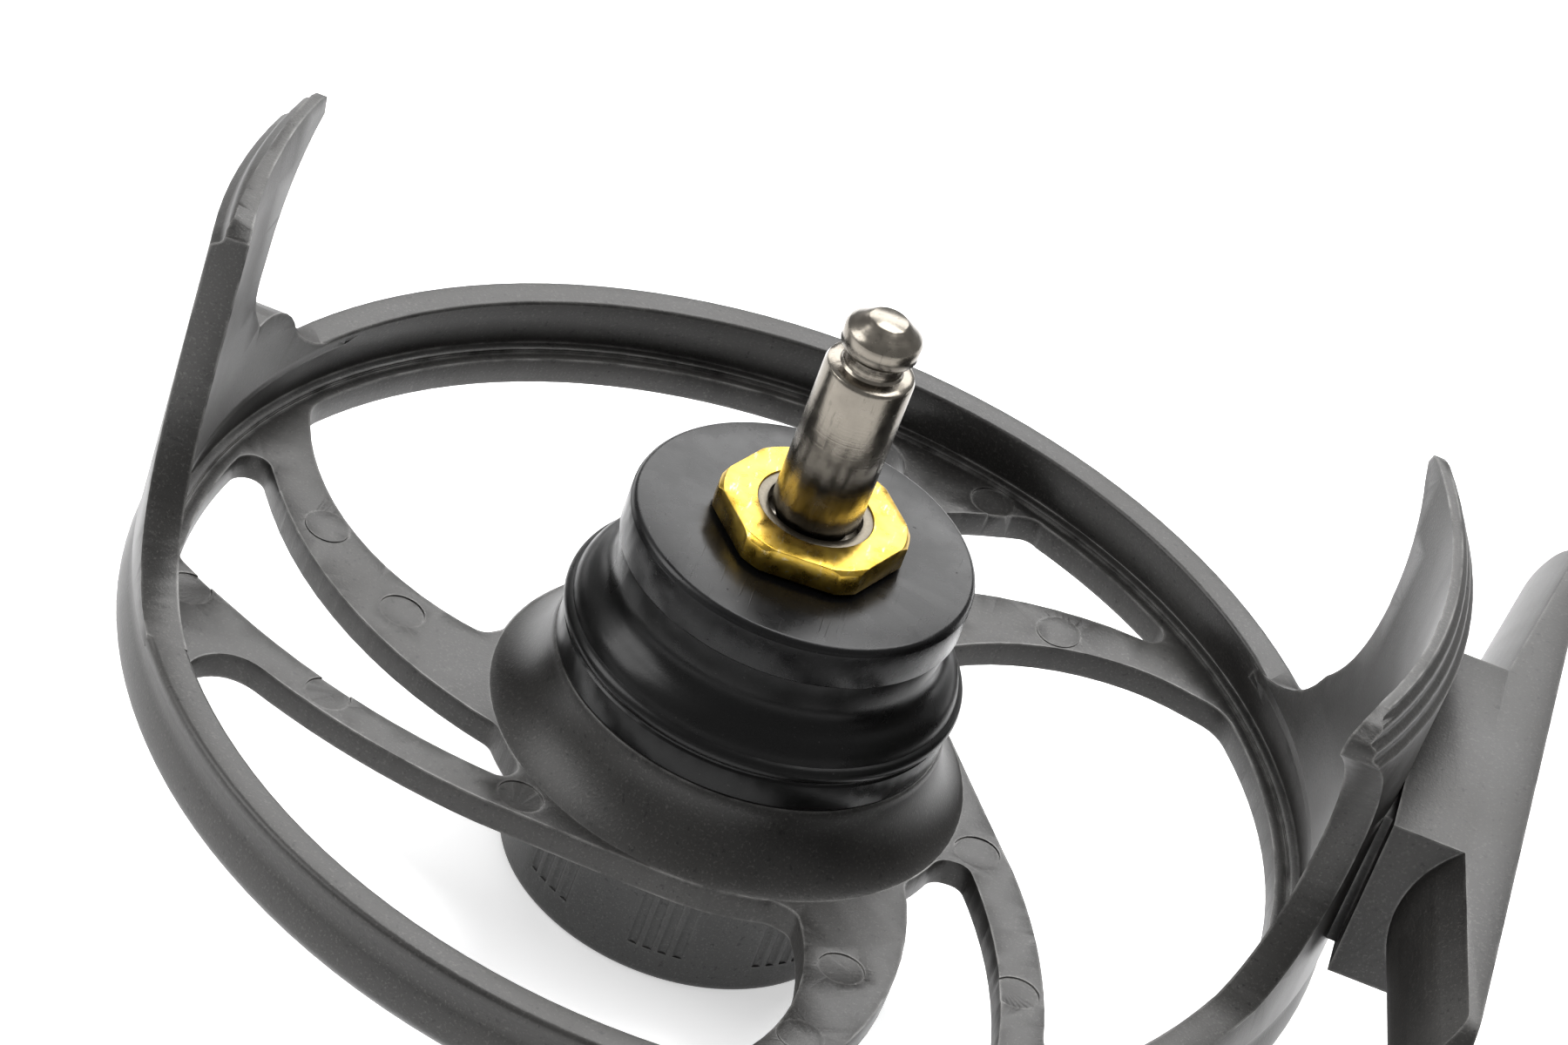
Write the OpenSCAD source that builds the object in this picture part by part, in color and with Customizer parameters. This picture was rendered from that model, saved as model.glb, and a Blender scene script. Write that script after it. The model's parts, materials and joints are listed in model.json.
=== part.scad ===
// Open-frame reel body that carries a spool: a ring with three pairs of curved
// spokes, a drag hub with a hexagonal drive, a fixed spindle, two rim guards
// and a mounting foot. Millimetres, +Z up along the spindle. The origin is on
// the spindle axis, at the top of the hexagonal drive where the spool seats.

/* [Ring and plate] */
// Outer radius of the ring at its top edge
ring_r = 43.9; // [38:0.1:54]
// Height of the ring above the back face
ring_h = 6.5; // [5:0.1:9]
// Thickness of the ring wall
ring_wall = 2.55; // [2:0.05:3.4]
// Thickness of the spoke plate
plate_t = 2.1; // [1.6:0.1:3]
// How far the spoke plate dishes down from the ring to the hub
hub_drop = 0.95; // [0.3:0.05:1.3]
// Width of the ledge that the spokes join, inside the ring wall
ledge_w = 1.25; // [0.8:0.05:2]
// How far the lower band of the ring swells beyond its top edge
band_swell = 0.12; // [0.05:0.01:0.6]
// Height of the hub's seat for the drag housing, above the back face
hub_h = 6.6; // [5.4:0.1:8]
// Width of the concave flare between the hub's seat and the plate
flare_w = 3; // [1.5:0.1:4]

/* [Spokes] */
// Bow of the wide spoke's outer edge
bow_wide = 3.5; // [1.5:0.1:4.5]
// Bow of the leaf opening's edge beside the wide spoke
bow_leaf_in = 3.6; // [2.4:0.1:4.2]
// Bow of the leaf opening's edge beside the narrow spoke
bow_leaf_out = 2.2; // [1.2:0.1:3]
// Bow of the narrow spoke's outer edge
bow_narrow = 1.6; // [1:0.1:2.4]
// Radius of the small corners of the openings
corner_r = 1.3; // [0.8:0.1:1.6]
// Radius of the corners of the large openings beside the ring
rim_corner_r = 3.5; // [2:0.1:4.5]
// Radius of the round moulding marks on the spokes
mark_r = 1.65; // [1:0.05:2]

/* [Rim guards] */
// Height of the foot-side guard above the back face
guard_a_h = 33.7; // [27:0.1:40]
// Half width of the foot-side guard at its waist
guard_a_half = 12.7; // [11.5:0.1:15]
// Height of the far guard above the back face
guard_b_h = 32.6; // [27:0.1:40]
// Half width of the far guard at its waist
guard_b_half = 8.3; // [6:0.1:10]
// Outward lean of the foot-side guard from the rim to the top
guard_a_lean = 0.45; // [0:0.05:1.2]
// Outward lean of the far guard from the rim to the top
guard_b_lean = 1.2; // [0:0.1:2]

/* [Drag housing] */
// Height of the drag housing
housing_h = 9.4; // [8.4:0.1:12]
// Wall of the drag housing at its foot
housing_wall = 3.1; // [2.8:0.1:4]
// Wall of the drag housing at its waist
waist_wall = 0.9; // [0.6:0.05:1.2]
// Thickness of the cap
cap_t = 3.5; // [3:0.1:5]
// How far the cap stands out over the waist
cap_lip = 0.5; // [0.2:0.05:1]

/* [Spindle and drive] */
// Radius of the spindle
spindle_r = 3.2; // [2.8:0.05:4]
// Length of the plain spindle above the spool seat
spindle_reach = 12.5; // [10:0.1:20]
// Radius of the groove under the snap head
neck_r = 2.1; // [1.8:0.05:2.3]
// Length of the groove under the snap head
neck_l = 1.4; // [1:0.1:2]
// Height of the snap head
head_h = 2.7; // [2:0.1:4]
// Width of the hexagonal drive across its flats
hex_af = 12.6; // [12:0.1:16]
// Visible height of the hexagonal drive
hex_h = 2; // [1.4:0.1:3.5]
// Turn of the hexagon's corners from the foot's direction, in degrees
hex_turn = 5; // [0:1:59]
// Wall of the two bushings inside the drive
bush_wall = 0.75; // [0.6:0.05:1]
// Wall of the drive's sleeve
sleeve_wall = 0.85; // [0.7:0.05:1.1]
// Radius of the threaded shank below the frame
shank_r = 2.5; // [2:0.05:2.7]

/* [Drag parts] */
// Radius of the rollers in the one-way clutch
roller_r = 0.74; // [0.6:0.02:0.9]
// Number of rollers
rollers = 8; // [6:1:10]
// Wall of the rotor's tube
rotor_wall = 1.6; // [1.2:0.1:2]
// Thickness of each friction disc
friction_t = 0.8; // [0.6:0.05:0.95]
// Thickness of the rotor's disc
rotor_t = 1.2; // [1:0.05:1.5]
// Thickness of the pressure plate
pressure_t = 1.2; // [1:0.05:1.5]
// Lift that closes the drag
lift = 0.25; // [0.15:0.01:0.4]
// Radius of the push pins
pin_r = 1.1; // [0.9:0.05:1.3]
// Radius of the threaded boss under the hub
boss_r = 6.5; // [6.2:0.1:7.2]
// Length of the threaded boss under the hub
boss_h = 5; // [4.8:0.1:5.6]
// Height of the stack of spring washers at rest
spring_h = 1.2; // [1:0.05:1.4]

/* [Drag knob] */
// Height of the knob
knob_h = 10.1; // [9.8:0.1:13]
// Wall of the knob
knob_wall = 1.95; // [1.8:0.05:2.8]
// Thickness of the knob's floor
knob_floor = 2; // [1.6:0.1:2.4]
// Groups of grip flutes round the knob
grip_groups = 9; // [5:1:10]
// Flutes in each group
grip_flutes = 4; // [3:1:6]

/* [Foot] */
// Overall length of the foot
foot_l = 60; // [50:0.5:72]
// Width of the foot
foot_w = 13.3; // [12:0.1:16]
// Height of the foot's middle above the back face
foot_mid = 15.85; // [15.2:0.05:18]
// Half length of the foot's pedestal
pedestal_half = 11.1; // [9.5:0.1:14]
// Distance from the seat on the guard to the foot's outer face
foot_depth = 8.8; // [7.5:0.1:11]
// Thickness of the arms' side edges where they leave the pedestal
arm_t = 3.7; // [2.8:0.1:4.5]
// Thickness of the arms' side edges at the tips
arm_tip_t = 0.6; // [0.4:0.1:1.2]
// How far the arms' round side stands above their side edges
arm_crown = 2.6; // [1:0.1:3]
// Radius of the corners at the foot's tips
foot_corner_r = 2.5; // [1:0.1:5]

/* [Fits] */
// Radial clearance of a turning or sliding fit
run_fit = 0.05; // [0.02:0.01:0.08]
// Axial play between parts that turn against each other
play = 0.2; // [0.1:0.05:0.3]

/* [Hidden] */
$fn = 180;

// Radii, from the spindle outwards
journal_r = spindle_r + 0.15;
bush_in = journal_r + run_fit;
bush_r = bush_in + bush_wall;
sleeve_r = bush_r + sleeve_wall;
tube_in = sleeve_r + 2 * (roller_r + run_fit);
tube_r = tube_in + rotor_wall;
spigot_in = tube_r + 1;
spigot_r = spigot_in + 1.75;
chamber_r = spigot_r + run_fit;
housing_r = chamber_r + housing_wall;
waist_r = chamber_r + waist_wall;
cap_r = waist_r + cap_lip;
neck_hub_r = housing_r + 0.2;
hub_r = neck_hub_r + flare_w;
web_r = hub_r + 0.1;
flange_r = sleeve_r - 0.1;
disc_r = chamber_r - 0.7;
ring_in = ring_r - ring_wall;
ledge_r = ring_in - ledge_w;
snap_r = spindle_r - 0.45;

// Heights above the back face of the frame
spindle_seat = hub_h + play;
flange_top = spindle_seat + 1.7;
washer_top = flange_top + 0.5;
sleeve_bottom = washer_top + play;
pressure_bottom = hub_h + play;
friction_bottom = pressure_bottom + pressure_t + lift;
rotor_bottom = friction_bottom + friction_t;
rotor_top = rotor_bottom + rotor_t;
reaction_bottom = rotor_top + friction_t + run_fit;
spigot_bottom = reaction_bottom + 1;
cap_bottom = hub_h + housing_h;
cap_top = cap_bottom + cap_t;
tube_top = cap_bottom - 1.1;
hex_bottom = cap_top + 0.3;
seat_h = hex_bottom + hex_h;
hub_plate = plate_t - hub_drop;
flat_r = ledge_r - 4.1;
shoulder_h = seat_h + spindle_reach;

// Below the hub's underside
under = -hub_drop;
thrust_top = under - 0.4;
thrust_bottom = thrust_top - 0.8;
nut_top = thrust_bottom - spring_h;
nut_bottom = nut_top - 2.2;
knob_top = under - 0.4;
knob_bottom = knob_top - knob_h;
locknut_h = 2.6;
shank_end = under - boss_h - locknut_h;

// Drag adjustment
pin_circle = (boss_r + chamber_r) / 2;
thrust_r = pin_circle + pin_r + 1.05;
knob_in = thrust_r + 0.3;
knob_r = knob_in + knob_wall;
key_w = 3;
key_depth = 0.5;
nut_r = knob_in - 1.7;
shoulder_r = 4;
screw_head_r = 5.5;
ball_r = 0.75;
ball_circle = knob_in + knob_wall / 2;
ball_turn = 60;
screw_circle = chamber_r + housing_wall / 2;

// Foot
foot_seat_x = ring_r - 0.1;
foot_face_x = foot_seat_x + foot_depth;
foot_screw_y = 6.5;
foot_screw_r = 1.25;
foot_head_r = 2.5;

// ---- helpers ----

module from_back() {
    translate([0, 0, -seat_h]) children();
}

module tube(r_out, r_in, h) {
    difference() {
        cylinder(r = r_out, h = h);
        translate([0, 0, -1]) cylinder(r = r_in, h = h + 2);
    }
}

module around(n, turn = 0) {
    for (i = [0:n - 1]) rotate(turn + i * 360 / n) children();
}

function polar(r, a) = [r * cos(a), r * sin(a)];

// Points along a circular arc from p to q that bows s to the left
function bow(p, q, s, n = 14) =
    let (
        d = q - p,
        side = [-d[1], d[0]] / norm(d),
        r = (norm(d) * norm(d) / 4 + s * s) / (2 * s),
        c = (p + q) / 2 + side * (s - r),
        a = atan2(p[1] - c[1], p[0] - c[0]),
        b = atan2(q[1] - c[1], q[0] - c[0]),
        turn = b - a + (b - a > 180 ? -360 : b - a < -180 ? 360 : 0)
    )
    [for (i = [0:n]) c + abs(r) * polar(1, a + turn * i / n)];

// Points along an arc about the origin
function rim_arc(r, a, b, n = 16) = [for (i = [0:n]) polar(r, a + (b - a) * i / n)];

module rounded(r) {
    offset(r = r, $fn = 40) offset(r = -r, $fn = 40) children();
}

// ---- frame ----

// Ends of the spoke edges, for a pair of spokes about direction 0
wide_root = polar(web_r + 1.1, -1.5);
wide_tip = polar(ledge_r - 1.4, -22.8);
leaf_in_root = polar(web_r, 30.1);
leaf_in_tip = polar(ledge_r - 1.15, -15.2);
leaf_out_tip = polar(ledge_r + 0.4, 7.1);
leaf_out_root = polar(web_r + 2, 47.1);
narrow_tip = polar(ledge_r - 0.45, 14.5);
narrow_root = polar(web_r + 4.9, 51.2);
units = [60, 180, 300];

function turned(p, a) = [p[0] * cos(a) - p[1] * sin(a), p[0] * sin(a) + p[1] * cos(a)];

module leaf_opening() {
    rounded(corner_r) polygon(concat(
        bow(leaf_in_root, leaf_in_tip, bow_leaf_in),
        rim_arc(ledge_r, -12, 6),
        bow(leaf_out_tip, leaf_out_root, -bow_leaf_out),
        rim_arc(web_r, 45, 32, 6)
    ));
}

module large_opening() {
    polygon(concat(
        [[0, web_r]],
        bow(narrow_root, narrow_tip, bow_narrow),
        rim_arc(ledge_r, 16, 95, 30),
        bow(turned(wide_tip, 120), turned(wide_root, 120), -bow_wide),
        rim_arc(web_r, 114, 92, 8)
    ));
}

// The dished slab that the spokes are cut from
module spoke_slab() {
    rotate_extrude() polygon([
        [0, under], [hub_r, under], [flat_r, 0], [ring_in + 1, 0],
        [ring_in + 1, plate_t], [flat_r, plate_t], [hub_r, hub_plate], [0, hub_plate],
    ]);
}

module spoke_plate() {
    intersection() {
        spoke_slab();
        translate([0, 0, under - 1]) linear_extrude(plate_t + hub_drop + 2) difference() {
            circle(r = ring_in + 1);
            for (a = units) rotate(a) {
                leaf_opening();
                rounded(rim_corner_r) large_opening();
                intersection() {
                    rounded(corner_r) large_opening();
                    circle(r = (web_r + ledge_r) / 2);
                }
            }
        }
    }
}

module ring() {
    low_r = ring_r + band_swell;
    rotate_extrude() polygon(concat(
        [[ring_in + 0.2, 0], [low_r - 1.7, 0]],
        bow([low_r - 1.7, 0], [low_r, 1.8], -0.5, 7),
        bow([low_r, 2.3], [ring_r - 0.3, ring_h * 0.63], -0.06, 5),
        bow([ring_r - 0.3, ring_h * 0.63], [ring_r, ring_h - 0.75], 0.1, 5),
        bow([ring_r, ring_h - 0.45], [ring_r - 0.45, ring_h], -0.12, 4),
        bow([ring_in + 0.3, ring_h], [ring_in, ring_h - 0.3], -0.08, 3),
        [[ring_in + 0.5, plate_t + 0.3], [ring_in + 0.2, plate_t]]
    ));
}

module ledge_bead() {
    r = ring_in + 0.05;
    rotate_extrude() polygon([
        [r - 0.25, plate_t - 0.2], [r - 0.25, plate_t + 0.16],
        [r - 0.05, plate_t + 0.26], [r + 0.6, plate_t + 0.26], [r + 0.6, plate_t - 0.2],
    ]);
}

module ledge_groove() {
    r = ring_in - 0.35;
    rotate_extrude() polygon([
        [r - 0.16, plate_t + 0.1], [r - 0.1, plate_t - 0.14],
        [r + 0.1, plate_t - 0.14], [r + 0.14, plate_t + 0.1],
    ]);
}

module hub() {
    rotate_extrude() polygon(concat(
        [[0, under + 0.4], [hub_r - 0.3, under + 0.4], [hub_r, hub_plate - 0.3]],
        bow([hub_r, hub_plate], [neck_hub_r, hub_h - 0.3], 0.75, 12),
        [[neck_hub_r - 0.15, hub_h], [0, hub_h]]
    ));
    cylinder(r = flange_r, h = spindle_seat);
    translate([0, 0, under - boss_h]) cylinder(r = boss_r, h = boss_h + 1);
}

// Round moulding mark, sunk or raised, flush with the slope of the plate
module mark(spot, z, h) {
    r = spot[0];
    slope = r < flat_r - 1 ? hub_drop / (flat_r - hub_r) : 0;
    rotate(spot[1]) translate([r, 0, min(plate_t, plate_t - (flat_r - r) * slope)])
        rotate([0, -atan(slope), 0]) translate([0, 0, z]) cylinder(r = mark_r, h = h, $fn = 64);
}

module marks_sunk() {
    spots = [
        [hub_r + 6.97, 2.1], [ledge_r - 1, 12], [hub_r + 12.3, 26.4], [hub_r + 2, 52.8],
    ];
    for (a = units, m = spots) rotate(a) mark(m, -0.12, 1);
}

module marks_raised() {
    for (a = units) rotate(a) mark([ledge_r - 8.3, -8.3], -0.3, 0.38);
}

// A leaning wall that follows the ring, cut to an outline in the Y-Z plane
module guard_wall(top, tilt, outline) {
    lean = tilt * (top + 2 - plate_t) / (top - plate_t);
    intersection() {
        rotate_extrude() polygon([
            [ring_in + 0.2, plate_t - 0.5], [ring_r - 0.15, plate_t - 0.5],
            [ring_r, ring_h - 1], [ring_r + lean, top + 2],
            [ring_in + lean, top + 2], [ring_in, ring_h - 1],
        ]);
        translate([ring_in - 12, 0, 0]) rotate([90, 0, 90]) linear_extrude(20) polygon(outline);
    }
}

// Fluted bevel along the outer top edge of a guard
module guard_flutes(top, tilt, drop, waves) {
    r0 = ring_r + tilt;
    r1 = ring_in + tilt + 0.75;
    n = 8 * waves;
    rotate_extrude() polygon(concat(
        [for (i = [0:n])
            let (t = i / n)
            [r0 + (r1 - r0) * t, top - drop * (1 - t)]
                + 0.15 * sin(360 * waves * t) * [0.8, 0.6]],
        [[r1, top + 3], [r0 + 3, top + 3], [r0 + 3, top - drop]]
    ));
}

module guard_a() {
    // foot side, with a concave edge on either hand
    h = guard_a_h;
    w = guard_a_half;
    rim = ring_h - 1;
    difference() {
        guard_wall(h, guard_a_lean, concat(
            [[-w - 17, rim], [w + 11.4, rim]],
            bow([w + 11, rim + 0.6], [w + 4.2, h - 21.6], 1, 8),
            bow([w + 3.9, h - 21], [w + 0.1, h - 10.8], 0.9, 10),
            bow([w + 0.2, h - 10.2], [w + 3.2, h - 2.2], 0.8, 10),
            [[w + 3.9, h - 1.1], [w + 3.6, h - 0.2], [w + 3, h], [0, h], [-w - 1.5, h],
             [-w - 3.3, h - 0.6], [-w - 4.6, h - 1.4], [-w - 4.8, h - 2.1]],
            bow([-w - 4.8, h - 2.9], [-w - 6.1, rim + 4.1], 5.2, 20),
            [[-w - 9.3, rim + 3], [-w - 14.3, rim + 1.6]]
        ));
        guard_flutes(h, guard_a_lean, 3.2, 3);
        // slot just under the inner lip
        rotate(-20.8) translate([ring_in + guard_a_lean - 0.05, 0, h - 0.95]) rotate([14, 0, 0])
            cube([0.9, 2.3, 0.45], center = true);
    }
}

module guard_b() {
    // far side, narrow, with one upright edge
    h = guard_b_h;
    w = guard_b_half;
    rim = ring_h - 1;
    mirror([1, 0, 0]) difference() {
        guard_wall(h, guard_b_lean, concat(
            [[-w - 12.2, rim], [w + 12.8, rim]],
            bow([w + 12, rim + 0.5], [w + 6.3, rim + 4.4], 0.7, 5),
            bow([w + 6.1, rim + 4.8], [w + 0.4, rim + 7.4], -0.9, 6),
            bow([w - 1, rim + 9.2], [w - 2.3, rim + 13.9], 0.5, 6),
            bow([w - 2.1, rim + 17], [w + 1.7, h - 1.9], 0.7, 10),
            [[w + 1.3, h - 0.3], [w + 0.3, h], [-3.8 + w, h - 0.2], [-6.8 + w, h - 0.7],
             [-w + 1.2, h - 1.1], [-w - 0.1, h - 1.8]],
            bow([-w - 0.2, rim + 14], [-w - 12.2, rim + 1], 3.5, 14)
        ));
        guard_flutes(h - 0.2, guard_b_lean, 3.2, 2);
    }
}

// Flat on the foot-side guard that the foot's pedestal is screwed to
module foot_pad() {
    translate([foot_seat_x - 1.5, -pedestal_half + 2, foot_mid - foot_w / 2 + 1])
        cube([1.5, 2 * pedestal_half - 4, foot_w - 2]);
}

module foot_clearance() {
    translate([foot_seat_x, -pedestal_half - 0.3, foot_mid - foot_w / 2 - 0.3])
        cube([10, 2 * pedestal_half + 0.6, foot_w + 0.6]);
}

module frame_holes() {
    translate([0, 0, under - boss_h - 1])
        cylinder(r = shank_r + run_fit, h = boss_h + spindle_seat + hub_drop + 2);
    around(3) translate([pin_circle, 0, under - 1]) cylinder(r = pin_r + run_fit, h = hub_h + 3);
    around(3, 30) translate([screw_circle, 0, 0]) {
        translate([0, 0, under - 1]) cylinder(r = 1.05, h = hub_h + 3);
        translate([0, 0, under - 1]) cylinder(r = 1.8, h = 2.3);
    }
    rotate(ball_turn) translate([ball_circle, 0, under - 1]) cylinder(r = ball_r + run_fit, h = 5);
    for (s = [-1, 1]) translate([foot_seat_x - 1.5, s * foot_screw_y, foot_mid])
        rotate([0, 90, 0]) cylinder(r = foot_screw_r, h = 4);
}

module frame() {
    color("dimgray") from_back() difference() {
        union() {
            spoke_plate();
            ring();
            ledge_bead();
            hub();
            guard_a();
            guard_b();
            foot_pad();
            marks_raised();
        }
        ledge_groove();
        marks_sunk();
        foot_clearance();
        frame_holes();
    }
}

// ---- foot ----

module foot_arm() {
    reach = foot_l / 2;
    slope = (arm_t - arm_tip_t) / (reach - pedestal_half);
    lean = atan(slope);
    r = (foot_w * foot_w / 4 + arm_crown * arm_crown) / (2 * arm_crown);
    intersection() {
        translate([foot_face_x, 0, foot_mid]) rotate([0, -90, 0])
            linear_extrude(20) rounded(foot_corner_r)
                translate([-foot_w / 2, -reach]) square([foot_w, 2 * reach]);
        translate([foot_face_x - 20, 0, 0]) cube([20, reach + 1, 60]);
        // round side, a cylinder that leans towards the tip
        translate([foot_face_x - arm_t - arm_crown, pedestal_half, foot_mid])
            rotate(-lean) translate([r, -40, 0]) rotate([-90, 0, 0]) cylinder(r = r, h = 90);
    }
}

module foot_pedestal() {
    translate([foot_seat_x, -pedestal_half, foot_mid - foot_w / 2])
        cube([foot_depth, 2 * pedestal_half, foot_w]);
}

module reel_foot() {
    color("slategray") from_back() difference() {
        union() {
            foot_pedestal();
            foot_arm();
            mirror([0, 1, 0]) foot_arm();
        }
        for (s = [-1, 1]) translate([foot_seat_x, s * foot_screw_y, foot_mid]) rotate([0, 90, 0]) {
            translate([0, 0, -1]) cylinder(r = foot_screw_r + 0.1, h = foot_depth + 2);
            translate([0, 0, foot_depth - 2.4]) cylinder(r = foot_head_r + 0.1, h = 3);
        }
    }
}

module foot_screw(side) {
    color("gray") from_back()
        translate([foot_seat_x, side * foot_screw_y, foot_mid]) rotate([0, 90, 0]) difference() {
            union() {
                translate([0, 0, -1.3]) cylinder(r = foot_screw_r - 0.02, h = foot_depth);
                translate([0, 0, foot_depth - 2.4]) cylinder(r = foot_head_r, h = 2.2);
            }
            translate([0, 0, foot_depth - 1.4]) cylinder(r = 1.3, h = 3, $fn = 6);
        }
}

module foot_screw_near() { foot_screw(-1); }
module foot_screw_far() { foot_screw(1); }

// ---- spindle ----

module spindle() {
    head = shoulder_h + neck_l;
    color("silver") from_back() difference() {
        rotate_extrude() polygon([
            [0, shank_end], [shank_r - 0.3, shank_end], [shank_r, shank_end + 0.3],
            [shank_r, spindle_seat], [flange_r, spindle_seat], [flange_r, flange_top],
            // journal, then a relief groove under the spool's stretch
            [journal_r, flange_top], [journal_r, seat_h - 1.2],
            [spindle_r - 0.6, seat_h - 1], [spindle_r - 0.6, seat_h - 0.25],
            [spindle_r, seat_h + 0.05], [spindle_r, shoulder_h - 0.45],
            [spindle_r - 0.12, shoulder_h - 0.15], [spindle_r - 0.5, shoulder_h],
            [neck_r + 0.15, shoulder_h + 0.05], [neck_r, shoulder_h + 0.25],
            [neck_r, head - 0.25], [neck_r + 0.25, head - 0.05],
            [snap_r - 0.15, head + 0.1], [snap_r, head + 0.35],
            [snap_r, head + head_h * 0.55], [snap_r - 0.2, head + head_h * 0.66],
            [snap_r - 1.3, head + head_h * 0.96], [snap_r - 1.5, head + head_h],
            [0, head + head_h],
        ]);
        translate([0, 0, shank_end - 1]) cylinder(r = 1.25, h = 6);
    }
}

module spindle_nut() {
    color("gray") from_back() translate([0, 0, shank_end]) difference() {
        cylinder(d = 9 / cos(30), h = locknut_h, $fn = 6);
        translate([0, 0, -1]) cylinder(r = shank_r + 0.02, h = locknut_h + 2);
    }
}

module thrust_washer() {
    color("gold") from_back() translate([0, 0, flange_top])
        tube(flange_r, bush_in, washer_top - flange_top);
}

// ---- drag housing and cap ----

module drag_housing() {
    z = hub_h;
    h = housing_h;
    bead_r = housing_r + 0.27;
    color([0.09, 0.09, 0.09]) from_back() difference() {
        rotate_extrude() polygon(concat(
            [[chamber_r, z], [housing_r - 0.1, z], [housing_r, z + 0.12]],
            [[housing_r, z + 2.1], [housing_r - 0.16, z + 2.22], [housing_r - 0.16, z + 2.38]],
            bow([housing_r, z + 2.5], [housing_r - 0.15, z + h * 0.4], -0.42, 9),
            bow([housing_r - 0.15, z + h * 0.4], [housing_r - 1.1, z + h * 0.57], -0.16, 6),
            bow([housing_r - 1.1, z + h * 0.57], [waist_r, z + h * 0.78], 0.26, 8),
            [[waist_r, z + h], [chamber_r, z + h]]
        ));
        around(3, 30) translate([screw_circle, 0, z - 1]) cylinder(r = 0.85, h = 4.6);
    }
}

module housing_screws() {
    color("gray") from_back() around(3, 30) translate([screw_circle, 0, 0]) difference() {
        union() {
            translate([0, 0, under + 0.1]) cylinder(r = 1.7, h = 1.2);
            translate([0, 0, under + 0.1]) cylinder(r = 0.83, h = hub_h + hub_drop + 3.2);
        }
        translate([0, 0, under - 0.5]) cylinder(r = 0.8, h = 1.2, $fn = 6);
    }
}

module drag_cap() {
    z = cap_bottom;
    color([0.12, 0.12, 0.12]) from_back() difference() {
        rotate_extrude() polygon(concat(
            [[sleeve_r + 0.15, z], [spigot_in, z], [spigot_in, spigot_bottom]],
            [[spigot_r, spigot_bottom], [spigot_r, z], [cap_r - 0.3, z]],
            [[cap_r, z + 0.25], [cap_r, cap_top - 0.55]],
            bow([cap_r - 0.04, cap_top - 0.5], [cap_r - 0.5, cap_top], -0.11, 5),
            [[sleeve_r + 0.35, cap_top], [sleeve_r + 0.15, cap_top - 0.2]]
        ));
        // recesses for the shaft seal and the sealing ring
        translate([0, 0, z + 0.5]) cylinder(r = sleeve_r + 2, h = 2);
        translate([0, 0, z - 2.4]) tube(spigot_r + 1, spigot_r - 0.75, 1.05);
    }
}

module cap_oring() {
    color([0.2, 0.2, 0.2]) from_back() translate([0, 0, cap_bottom - 1.875])
        rotate_extrude() translate([spigot_r - 0.4, 0]) circle(r = 0.35, $fn = 32);
}

module shaft_seal() {
    color([0.2, 0.2, 0.2]) from_back() translate([0, 0, cap_bottom + 0.55])
        tube(sleeve_r + 1.95, sleeve_r + run_fit, 1.9);
}

module reaction_ring() {
    color("silver") from_back() translate([0, 0, reaction_bottom])
        tube(chamber_r - run_fit, tube_r + 0.4, spigot_bottom - reaction_bottom);
}

// ---- drive ----

module hex_drive() {
    corner = hex_af / 2 / cos(30);
    cut = hex_af / 2 + 0.55;
    color("gold") from_back() difference() {
        union() {
            translate([0, 0, hex_bottom]) intersection() {
                rotate(hex_turn) cylinder(r = corner, h = hex_h, $fn = 6);
                rotate_extrude() polygon([
                    [0, 0], [cut, 0], [cut, hex_h - 0.3], [cut - 0.3, hex_h], [0, hex_h],
                ]);
            }
            translate([0, 0, sleeve_bottom]) cylinder(r = sleeve_r, h = hex_bottom - sleeve_bottom + 0.5);
        }
        translate([0, 0, sleeve_bottom - 1]) cylinder(r = bush_r, h = seat_h);
        translate([0, 0, cap_bottom - 0.9]) tube(sleeve_r + 1, sleeve_r - 0.3, 0.65);
    }
}

module bushing(bottom, h) {
    color("tan") from_back() translate([0, 0, bottom])
        tube(bush_r - 0.01, bush_in, h);
}

module upper_bushing() { bushing(seat_h - 4.5, 4.4); }
module lower_bushing() { bushing(sleeve_bottom + 0.1, 3); }

module drive_clip() {
    color("silver") from_back() translate([0, 0, cap_bottom - 0.88]) difference() {
        tube(sleeve_r + 0.8, sleeve_r - 0.28, 0.6);
        translate([0, -1.4, -1]) cube([12, 2.8, 3]);
    }
}

module clutch_cage() {
    h = tube_top - rotor_top - 0.5;
    color("orange") from_back() translate([0, 0, rotor_top + 0.3]) difference() {
        tube(tube_in - 0.02, sleeve_r + run_fit, h);
        around(rollers) translate([sleeve_r + run_fit + roller_r, 0, 0.6])
            cube([4, 2 * roller_r + 0.1, 2 * (h - 1.2)], center = true);
    }
}

module clutch_rollers() {
    h = tube_top - rotor_top - 0.5;
    color("silver") from_back()
        around(rollers) translate([sleeve_r + run_fit + roller_r, 0, rotor_top + 0.31])
            cylinder(r = roller_r, h = h - 0.72, $fn = 32);
}

// ---- drag stack ----

module drag_rotor() {
    color("lightsteelblue") from_back() difference() {
        union() {
            translate([0, 0, rotor_bottom]) cylinder(r = disc_r, h = rotor_t);
            translate([0, 0, rotor_bottom]) cylinder(r = tube_r, h = tube_top - rotor_bottom);
        }
        translate([0, 0, rotor_top]) cylinder(r = tube_in, h = 20);
        translate([0, 0, rotor_bottom - 1]) cylinder(r = sleeve_r + 0.6, h = 20);
    }
}

module lower_friction_disc() {
    color("saddlebrown") from_back() translate([0, 0, friction_bottom])
        tube(disc_r - 0.1, sleeve_r + 0.6, friction_t);
}

module upper_friction_disc() {
    color("saddlebrown") from_back() translate([0, 0, rotor_top])
        tube(disc_r - 0.1, tube_r + 0.2, friction_t);
}

module pressure_plate() {
    color("silver") from_back() translate([0, 0, pressure_bottom])
        tube(chamber_r - 0.3, flange_r + 0.3, pressure_t);
}

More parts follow.
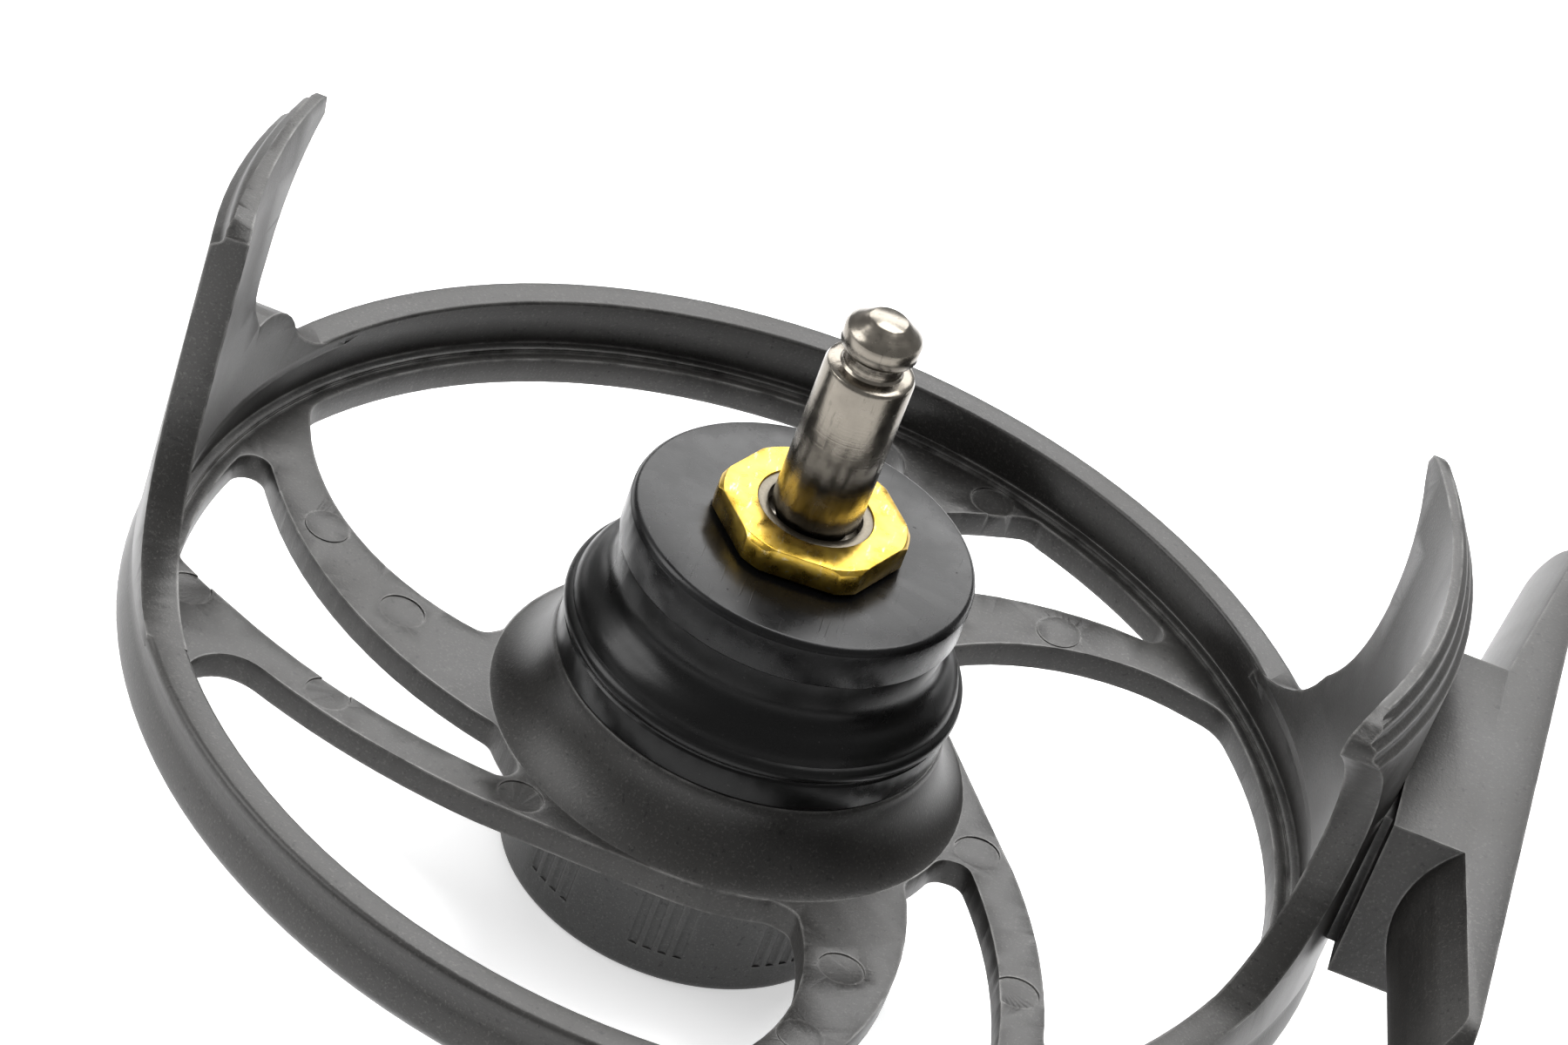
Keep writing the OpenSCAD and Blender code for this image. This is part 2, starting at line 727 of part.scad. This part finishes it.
module push_pins() {
    color("gray") from_back() around(3) translate([pin_circle, 0, thrust_top])
        cylinder(r = pin_r, h = pressure_bottom - thrust_top);
}

module thrust_ring() {
    color("silver") from_back() translate([0, 0, thrust_bottom])
        tube(thrust_r, boss_r + 0.1, thrust_top - thrust_bottom);
}

module spring_washers() {
    // a pair of dished washers, rim to rim
    step = spring_h / 2;
    color("darkgray") from_back() translate([0, 0, nut_top]) for (s = [0, 1])
        translate([0, 0, spring_h / 2]) mirror([0, 0, s]) rotate_extrude() polygon([
            [boss_r + 0.3, step - 0.35], [nut_r - 0.4, 0], [nut_r - 0.1, 0],
            [nut_r - 0.1, 0.3], [boss_r + 0.3, step],
        ]);
}

module adjust_nut() {
    color("gold") from_back() translate([0, 0, nut_bottom]) difference() {
        union() {
            cylinder(r = nut_r, h = 2.2);
            around(3) translate([nut_r - 1, -key_w / 2, 0])
                cube([knob_in + key_depth - 0.1 - nut_r + 1, key_w, 2.2]);
        }
        translate([0, 0, -1]) cylinder(r = boss_r + run_fit, h = 5);
    }
}

// ---- knob ----

module grip_cuts() {
    // shallow flutes that end above the knob's lower edge
    pitch = 4.8;
    for (g = [0:grip_groups - 1], i = [0:grip_flutes - 1])
        rotate(-87 + g * 360 / grip_groups + (i - (grip_flutes - 1) / 2) * pitch)
            translate([knob_r + 0.27, 0, knob_bottom + 2.6])
                cylinder(r = 0.45, h = knob_h, $fn = 24);
}

module drag_knob() {
    color([0.3, 0.3, 0.3]) from_back() difference() {
        rotate_extrude() polygon(concat(
            [[shoulder_r + run_fit, knob_bottom]],
            bow([knob_r - 0.8, knob_bottom], [knob_r, knob_bottom + 0.8], -0.23, 5),
            [[knob_r, knob_top - 0.3], [knob_r - 0.3, knob_top]],
            [[knob_in, knob_top], [knob_in, knob_bottom + knob_floor]],
            [[shoulder_r + run_fit, knob_bottom + knob_floor]]
        ));
        translate([0, 0, knob_bottom - 1]) cylinder(r = screw_head_r + 0.1, h = 1.85);
        around(3) translate([knob_in - 1, -key_w / 2 - 0.1, knob_bottom + knob_floor + 2])
            cube([1 + key_depth, key_w + 0.2, knob_h]);
        // plain track for the click ball
        translate([0, 0, knob_top - 0.55])
            tube(ball_circle + ball_r, ball_circle - ball_r, 1);
        grip_cuts();
    }
}

module knob_screw() {
    color("gray") from_back() difference() {
        union() {
            translate([0, 0, knob_bottom + 0.05]) cylinder(r = screw_head_r, h = 0.7);
            translate([0, 0, knob_bottom + 0.05]) cylinder(r = shoulder_r, h = shank_end - knob_bottom - 0.05);
            translate([0, 0, shank_end - 1]) cylinder(r = 1.23, h = 4.5);
        }
        translate([0, -0.5, knob_bottom - 0.5]) translate([-3.2, 0, 0]) cube([6.4, 1, 1.1]);
    }
}

module click_ball() {
    color("silver") from_back() rotate(ball_turn) translate([ball_circle, 0, under])
        sphere(r = ball_r, $fn = 48);
}

// Coil with open ends; points come from the turn angle
module coil(r, wire, turns, h) {
    sides = 8;
    steps = 16 * turns;
    points = [for (i = [0:steps], k = [0:sides - 1])
        let (
            a = 360 * turns * i / steps,
            b = 360 * k / sides,
            q = r + wire * cos(b)
        )
        [q * cos(a), q * sin(a), wire + (h - 2 * wire) * i / steps + wire * sin(b)]];
    walls = [for (i = [0:steps - 1], k = [0:sides - 1])
        let (a = i * sides + k, b = i * sides + (k + 1) % sides)
        [a, b, b + sides, a + sides]];
    polyhedron(points, concat(
        walls,
        [[for (k = [sides - 1:-1:0]) k], [for (k = [0:sides - 1]) steps * sides + k]]
    ));
}

module click_spring() {
    color("gray") from_back() rotate(ball_turn) translate([ball_circle, 0, under + ball_r + 0.05])
        coil(0.55, 0.13, 5, 3);
}

frame();
reel_foot();
foot_screw_near();
foot_screw_far();
spindle();
spindle_nut();
thrust_washer();
drag_housing();
housing_screws();
drag_cap();
cap_oring();
shaft_seal();
reaction_ring();
hex_drive();
upper_bushing();
lower_bushing();
drive_clip();
clutch_cage();
clutch_rollers();
drag_rotor();
lower_friction_disc();
upper_friction_disc();
pressure_plate();
push_pins();
thrust_ring();
spring_washers();
adjust_nut();
drag_knob();
knob_screw();
click_ball();
click_spring();
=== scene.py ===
"""Looks, light and camera for the open-frame reel body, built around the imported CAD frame."""

import json
import math

import bpy
from mathutils import Matrix, Vector


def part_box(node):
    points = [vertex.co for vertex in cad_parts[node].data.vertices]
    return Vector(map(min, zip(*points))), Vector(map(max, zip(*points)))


MM = 0.001

# Camera: elevation and roll in degrees, distance and aim offset in millimetres
CAM_ELEVATION = 35.09
CAM_ROLL = 21.28
CAM_DISTANCE = 534.3
CAM_OFFSET = (1.52, -0.75)
CAM_AIM_Z = -2.3
CAM_LENS = 179.2
CAM_SENSOR = 36
CAM_CLIP = (0.01, 20)

# Width of the softened edges, in millimetres, on the pieces that show
EDGE_MM = {
    "frame": 0.12,
    "reel_foot": 0.12,
    "hex_drive": 0.1,
    "drag_cap": 0.05,
    "drag_housing": 0.05,
    "spindle": 0.05,
    "upper_bushing": 0.04,
    "drag_knob": 0.05,
}
EDGE_ANGLE = 35  # degrees; sharper edges than this are rounded
WELD_DISTANCE = 1e-6  # metres

FLOOR_SIZE = 3000 * MM
FLOOR_COLOUR = (0.93, 0.93, 0.935)
FLOOR_GLOW = 0.5
WORLD_GLOW = 0.42

# Soft lights aimed at the middle of the part: place and size in metres, power in watts
SOFTBOXES = {
    "top": ((0.12, 0.3, 0.7), (0.6, 0.45), 8),
    "left": ((-0.6, -0.1, 0.4), (0.4, 0.5), 4),
    "back": ((-0.1, 0.8, 0.5), (1.0, 0.4), 7),
}

RUBBED_METAL = (0.3, 0.295, 0.285)
DUST = (0.06, 0.058, 0.055)


# ---------------------------------------------------------------- shader helpers


def material(name, colour, roughness, metallic=0.0, **inputs):
    """A new material with a Principled shader; returns it with its nodes, links and shader."""
    mat = bpy.data.materials.new(name)
    mat.use_nodes = True
    tree = mat.node_tree
    shader = tree.nodes["Principled BSDF"]
    shader.inputs["Base Color"].default_value = (*colour, 1)
    shader.inputs["Roughness"].default_value = roughness
    shader.inputs["Metallic"].default_value = metallic
    for key, value in inputs.items():
        shader.inputs[key.replace("_", " ")].default_value = value
    return mat, tree, shader


def add(tree, kind, **values):
    """A node with its properties and its input values set by name."""
    node = tree.nodes.new(kind)
    for key, value in values.items():
        if hasattr(node, key):
            setattr(node, key, value)
        else:
            node.inputs[key.replace("_", " ")].default_value = value
    return node


def coords(tree, stretch=(1, 1, 1)):
    """Object coordinates in millimetres, stretched along each axis."""
    where = add(tree, "ShaderNodeTexCoord")
    scale = add(tree, "ShaderNodeVectorMath", operation="MULTIPLY")
    scale.inputs[1].default_value = [1 / MM * s for s in stretch]
    tree.links.new(where.outputs["Object"], scale.inputs[0])
    return scale.outputs[0]


def noise(tree, vector, size, detail=3.0, rough=0.55):
    """Noise whose blobs are about size millimetres across."""
    node = add(tree, "ShaderNodeTexNoise", Scale=1 / size, Detail=detail, Roughness=rough)
    tree.links.new(vector, node.inputs["Vector"])
    return node.outputs["Fac"]


def ramp(tree, value, low, high, out_low=0.0, out_high=1.0):
    """Maps value from low..high to out_low..out_high, clamped."""
    node = add(tree, "ShaderNodeMapRange", clamp=True)
    for socket, number in zip(node.inputs[1:5], (low, high, out_low, out_high)):
        socket.default_value = number
    tree.links.new(value, node.inputs[0])
    return node.outputs[0]


def blend(tree, factor, colour_a, colour_b):
    """Mix of two colours; each is a tuple or a socket."""
    node = add(tree, "ShaderNodeMix", data_type="RGBA")
    tree.links.new(factor, node.inputs["Factor"])
    for socket, colour in ((node.inputs[6], colour_a), (node.inputs[7], colour_b)):
        if isinstance(colour, tuple):
            socket.default_value = (*colour, 1)
        else:
            tree.links.new(colour, socket)
    return node.outputs[2]


def times(factor, colour):
    """A colour made lighter or darker."""
    return tuple(factor * c for c in colour)


def math_node(tree, operation, a, b=0.0):
    """Result of a Math node; a and b are each a number or a socket."""
    node = add(tree, "ShaderNodeMath", operation=operation)
    for socket, value in zip(node.inputs, (a, b)):
        if isinstance(value, (int, float)):
            socket.default_value = value
        else:
            tree.links.new(value, socket)
    return node.outputs[0]


def bump(tree, shader, height, depth, strength=1.0):
    """Bump of depth millimetres, after any bump already on the shader."""
    node = add(tree, "ShaderNodeBump", Strength=strength, Distance=depth * MM)
    tree.links.new(height, node.inputs["Height"])
    socket = shader.inputs["Normal"]
    if socket.is_linked:
        tree.links.new(socket.links[0].from_socket, node.inputs["Normal"])
    tree.links.new(node.outputs["Normal"], socket)


# ---------------------------------------------------------------- materials


def edge_wear(tree, radius=0.35):
    """1 on sharp outer edges and 0 on flat faces, from the bevelled normal."""
    round_edge = add(tree, "ShaderNodeBevel", samples=4, Radius=radius * MM)
    flat = add(tree, "ShaderNodeNewGeometry")
    dot = add(tree, "ShaderNodeVectorMath", operation="DOT_PRODUCT")
    tree.links.new(round_edge.outputs[0], dot.inputs[0])
    tree.links.new(flat.outputs["Normal"], dot.inputs[1])
    return ramp(tree, dot.outputs["Value"], 0.985, 0.9)


def cast_paint(name, dark, light, grain=0.2, wear=0.5):
    """Satin dark grey coat with a fine grain, warm blotches and edges rubbed lighter."""
    mat, tree, shader = material(name, dark, 0.42, 0.3)
    at = coords(tree)
    fine = noise(tree, at, grain, 2, 0.6)
    spots = noise(tree, at, grain * 2.2, 2, 0.5)
    broad = noise(tree, at, 15, 3)
    tint = blend(tree, ramp(tree, broad, 0.38, 0.66), dark, light)
    speck = blend(tree, ramp(tree, fine, 0.56, 0.72), tint, times(1.7, light))
    pits = blend(tree, ramp(tree, spots, 0.64, 0.72), speck, times(0.6, dark))
    edges = edge_wear(tree)
    patches = ramp(tree, noise(tree, at, 2.6, 4), 0.35, 0.6, 0, wear)
    rub = math_node(tree, "MULTIPLY", edges, patches)
    tree.links.new(blend(tree, rub, pits, RUBBED_METAL), shader.inputs["Base Color"])
    rough = ramp(tree, broad, 0.3, 0.7, 0.36, 0.5)
    tree.links.new(rough, shader.inputs["Roughness"])
    bump(tree, shader, fine, 0.014)
    return mat


def black_plastic(name, colour, low, high, scratch=0.0):
    """Dark moulded surface with soft mottling and dust; scratch adds hair lines and nicks."""
    mat, tree, shader = material(name, colour, low, Specular_IOR_Level=0.22)
    at = coords(tree)
    cloud = noise(tree, at, 3.5, 5)
    tree.links.new(ramp(tree, cloud, 0.35, 0.7, low, high), shader.inputs["Roughness"])
    fine = noise(tree, at, 0.16, 2)
    dust = ramp(tree, noise(tree, at, 0.3, 3, 0.7), 0.68, 0.74, 0, 0.5)
    tone = blend(tree, ramp(tree, fine, 0.5, 0.75), colour, times(1.7, colour))
    tone = blend(tree, dust, tone, DUST)
    tree.links.new(tone, shader.inputs["Base Color"])
    bump(tree, shader, fine, 0.005)
    if scratch:
        lines = noise(tree, coords(tree, (1, 0.06, 1)), 0.3, 2)
        bump(tree, shader, ramp(tree, lines, 0.64, 0.7), scratch)
        nicks = noise(tree, at, 0.8, 4, 0.7)
        bump(tree, shader, ramp(tree, nicks, 0.7, 0.74, 1, 0), 0.05)
    return mat


def worn_brass(name):
    """Yellow brass with silvery rubbed scrapes, dark dirt in places and fine scratches."""
    mat, tree, shader = material(name, (0.72, 0.5, 0.1), 0.3, 1.0)
    at = coords(tree)
    cloud = noise(tree, at, 1.6, 4)
    tone = blend(tree, ramp(tree, cloud, 0.35, 0.68), (0.4, 0.25, 0.03), (0.58, 0.4, 0.075))
    scrape = ramp(tree, noise(tree, coords(tree, (1, 0.25, 1)), 0.5, 5, 0.7), 0.58, 0.68)
    tone = blend(tree, scrape, tone, (0.55, 0.45, 0.22))
    dirt = ramp(tree, noise(tree, at, 0.7, 5, 0.7), 0.64, 0.7, 0, 0.7)
    tree.links.new(blend(tree, dirt, tone, (0.28, 0.18, 0.06)), shader.inputs["Base Color"])
    tree.links.new(ramp(tree, cloud, 0.3, 0.7, 0.22, 0.38), shader.inputs["Roughness"])
    lines = noise(tree, coords(tree, (0.12, 1, 1)), 0.12, 3)
    bump(tree, shader, lines, 0.004)
    bump(tree, shader, noise(tree, at, 0.5, 4, 0.65), 0.012)
    return mat


def turned_steel(name, colour, roughness=0.28, lines=0.005):
    """Machined metal with fine rings round the turning axis and small scratches."""
    mat, tree, shader = material(name, colour, roughness, 1.0)
    rings = noise(tree, coords(tree, (0.05, 0.05, 6)), 0.8, 2)
    cloud = noise(tree, coords(tree), 1.6, 4)
    long_blobs = noise(tree, coords(tree, (1.6, 1.6, 0.3)), 0.5, 4, 0.7)
    streak = ramp(tree, long_blobs, 0.56, 0.66, 0, 0.55)
    tone = blend(tree, ramp(tree, cloud, 0.35, 0.7), times(0.78, colour), colour)
    tone = blend(tree, streak, tone, times(0.5, colour))
    tree.links.new(tone, shader.inputs["Base Color"])
    rough = ramp(tree, cloud, 0.3, 0.7, roughness * 0.8, roughness * 1.35)
    tree.links.new(rough, shader.inputs["Roughness"])
    bump(tree, shader, rings, lines)
    bump(tree, shader, noise(tree, coords(tree), 0.35, 3), lines)
    return mat


def plain(name, colour, roughness, metallic=0.0, grain=0.3, depth=0.01):
    """Small hidden parts: one colour with a fine mottling."""
    mat, tree, shader = material(name, colour, roughness, metallic)
    fine = noise(tree, coords(tree), grain, 3)
    tone = blend(tree, ramp(tree, fine, 0.4, 0.7), times(0.85, colour), colour)
    tree.links.new(tone, shader.inputs["Base Color"])
    bump(tree, shader, fine, depth)
    return mat


def finishes():
    """Every material slot of the part, made once."""
    steel = turned_steel("machined_steel", (0.6, 0.59, 0.57))
    dark_grey, mid_grey = (0.015, 0.0142, 0.0134), (0.026, 0.0248, 0.0232)
    knob_dark, knob_light = (0.03, 0.03, 0.0295), (0.04, 0.04, 0.039)
    return {
        "frame_paint": cast_paint("frame_paint", dark_grey, mid_grey),
        "knob_paint": cast_paint("knob_paint", knob_dark, knob_light, 0.15, 0.2),
        "housing_black": black_plastic("housing_black", (0.0025, 0.0025, 0.0025), 0.26, 0.38),
        "cap_black": black_plastic("cap_black", (0.0028, 0.0028, 0.003), 0.22, 0.36, 0.005),
        "brass": worn_brass("brass"),
        "bronze": plain("bronze", (0.13, 0.115, 0.09), 0.38, 1.0, 0.25, 0.03),
        "spindle_steel": turned_steel("spindle_steel", (0.22, 0.2, 0.17), 0.22),
        "steel": steel,
        "rotor_aluminium": turned_steel("rotor_aluminium", (0.8, 0.81, 0.83)),
        "friction": plain("friction", (0.05, 0.047, 0.045), 0.6),
        "cage_plastic": plain("cage_plastic", (0.6, 0.42, 0.2), 0.45),
        "seal_rubber": plain("seal_rubber", (0.02, 0.02, 0.02), 0.65),
    }


def dress(nodes, slots):
    """Gives every CAD node the material of its slot."""
    finish = finishes()
    for name, node in nodes.items():
        node.data.materials.clear()
        node.data.materials.append(finish[slots[name]])


def soften(node, width):
    """Welds the seams, rounds the sharp edges by width millimetres and shades the rest smooth."""
    for face in node.data.polygons:
        face.use_smooth = True
    weld = node.modifiers.new("weld", "WELD")
    weld.merge_threshold = WELD_DISTANCE
    edge = node.modifiers.new("edges", "BEVEL")
    edge.width = width * MM
    edge.segments = 2
    edge.limit_method = "ANGLE"
    edge.angle_limit = math.radians(EDGE_ANGLE)
    edge.harden_normals = True
    edge.miter_outer = "MITER_ARC"


# ---------------------------------------------------------------- stage


def floor(z):
    """A plain pale floor at height z."""
    bpy.ops.mesh.primitive_plane_add(size=FLOOR_SIZE, location=(0, 0, z))
    plane = bpy.context.object
    plane.name = "floor"
    mat, tree, shader = material(
        "floor", FLOOR_COLOUR, 0.6, Emission_Color=(1, 1, 1, 1), Emission_Strength=FLOOR_GLOW
    )
    tone = ramp(tree, noise(tree, coords(tree), 120, 2), 0.3, 0.7, 0.55, 0.62)
    tree.links.new(tone, shader.inputs["Roughness"])
    plane.data.materials.append(mat)


def softbox(name, place, size, power):
    """A white rectangular area light aimed at the origin."""
    light = bpy.data.lights.new(name, "AREA")
    light.shape = "RECTANGLE"
    light.size, light.size_y = size
    light.energy = power
    lamp = bpy.data.objects.new(name, light)
    lamp.location = place
    lamp.rotation_euler = (-Vector(place)).to_track_quat("-Z", "Y").to_euler()
    bpy.context.collection.objects.link(lamp)


def lights():
    """An even white world and the soft lights."""
    world = bpy.data.worlds.new("studio")
    world.use_nodes = True
    background = world.node_tree.nodes["Background"]
    background.inputs["Color"].default_value = (1, 1, 1, 1)
    background.inputs["Strength"].default_value = WORLD_GLOW
    bpy.context.scene.world = world
    for name, (place, size, power) in SOFTBOXES.items():
        softbox(name, place, size, power)


def camera():
    """The main camera, rolled about its own axis."""
    elevation, roll = math.radians(CAM_ELEVATION), math.radians(CAM_ROLL)
    back = Vector((0, -math.cos(elevation), math.sin(elevation)))
    right = Vector((1, 0, 0))
    up = back.cross(right)
    turned_right = math.cos(roll) * right + math.sin(roll) * up
    turned_up = -math.sin(roll) * right + math.cos(roll) * up
    aim = Vector((0, 0, CAM_AIM_Z * MM))
    place = aim + CAM_DISTANCE * MM * back
    place -= CAM_OFFSET[0] * MM * turned_right + CAM_OFFSET[1] * MM * turned_up
    data = bpy.data.cameras.new("camera")
    data.lens = CAM_LENS
    data.sensor_width = CAM_SENSOR
    data.clip_start, data.clip_end = CAM_CLIP
    cam = bpy.data.objects.new("camera", data)
    axes = Matrix((turned_right, turned_up, back)).transposed()
    cam.matrix_world = Matrix.Translation(place) @ axes.to_4x4()
    bpy.context.collection.objects.link(cam)
    bpy.context.scene.camera = cam


# ---------------------------------------------------------------- build

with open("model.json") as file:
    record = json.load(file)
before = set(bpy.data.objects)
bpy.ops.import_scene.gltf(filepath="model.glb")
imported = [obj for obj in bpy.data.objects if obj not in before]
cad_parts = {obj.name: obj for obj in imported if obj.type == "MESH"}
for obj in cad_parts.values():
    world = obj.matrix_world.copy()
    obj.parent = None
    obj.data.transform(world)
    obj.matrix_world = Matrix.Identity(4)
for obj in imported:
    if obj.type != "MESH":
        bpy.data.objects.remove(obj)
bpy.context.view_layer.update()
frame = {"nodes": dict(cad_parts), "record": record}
nodes = frame["nodes"]
slots = {part["node"]: part["material_slot"] for part in frame["record"]["subparts"]}

dress(nodes, slots)
for name, width in EDGE_MM.items():
    soften(nodes[name], width)

floor(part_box("drag_knob")[0][2])
lights()
camera()

bpy.context.scene.view_settings.view_transform = "Standard"
